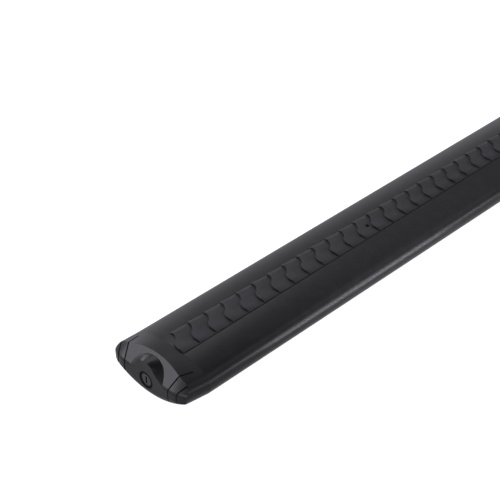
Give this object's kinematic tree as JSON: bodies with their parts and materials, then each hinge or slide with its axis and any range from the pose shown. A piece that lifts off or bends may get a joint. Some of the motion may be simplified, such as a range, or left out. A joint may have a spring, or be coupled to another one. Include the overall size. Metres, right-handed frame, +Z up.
{
  "type": "roof rack crossbar",
  "caption": "Aero-section roof rack crossbar: black hollow extrusion with a scaled rubber strip on top, a leg channel underneath and lockable moulded end caps.",
  "frame": {"origin": "middle of the bar's length and width, on the flat underside", "axes": "+X along the bar, +Y from front to back, +Z up"},
  "size_m": [1.247, 0.0714, 0.0301],
  "materials": {
    "black_coat": "black satin powder coat on an aluminium extrusion",
    "strip_rubber": "matt black moulded rubber",
    "cap_moulding": "fine-grained dark grey moulded plastic",
    "seal_rubber": "black rubber",
    "lock_face": "dark grey satin coat",
    "spring_steel": "bright spring steel",
    "zinc_plate": "zinc plated"
  },
  "bodies": {
    "bar": {"extrusion": "black_coat", "top_strip": "strip_rubber", "left_end_cap": "cap_moulding", "left_lock_seal": "seal_rubber", "right_end_cap": "cap_moulding", "right_lock_seal": "seal_rubber"},
    "left_lock": {"left_lock_barrel": "lock_face", "left_lock_clip": "spring_steel", "left_lock_cam": "zinc_plate", "left_cam_screw": "zinc_plate"},
    "right_lock": {"right_lock_barrel": "lock_face", "right_lock_clip": "spring_steel", "right_lock_cam": "zinc_plate", "right_cam_screw": "zinc_plate"}
  },
  "joints": [
    {"name": "left_lock_turn", "type": "hinge", "parent": "bar", "child": "left_lock", "pos_m": [-0.6235, 0, 0.0132], "axis": [-1, 0, 0], "range_deg": [0, 90]},
    {"name": "right_lock_turn", "type": "hinge", "parent": "bar", "child": "right_lock", "pos_m": [0.6235, 0, 0.0132], "axis": [1, 0, 0], "range_deg": [0, 90]}
  ]
}
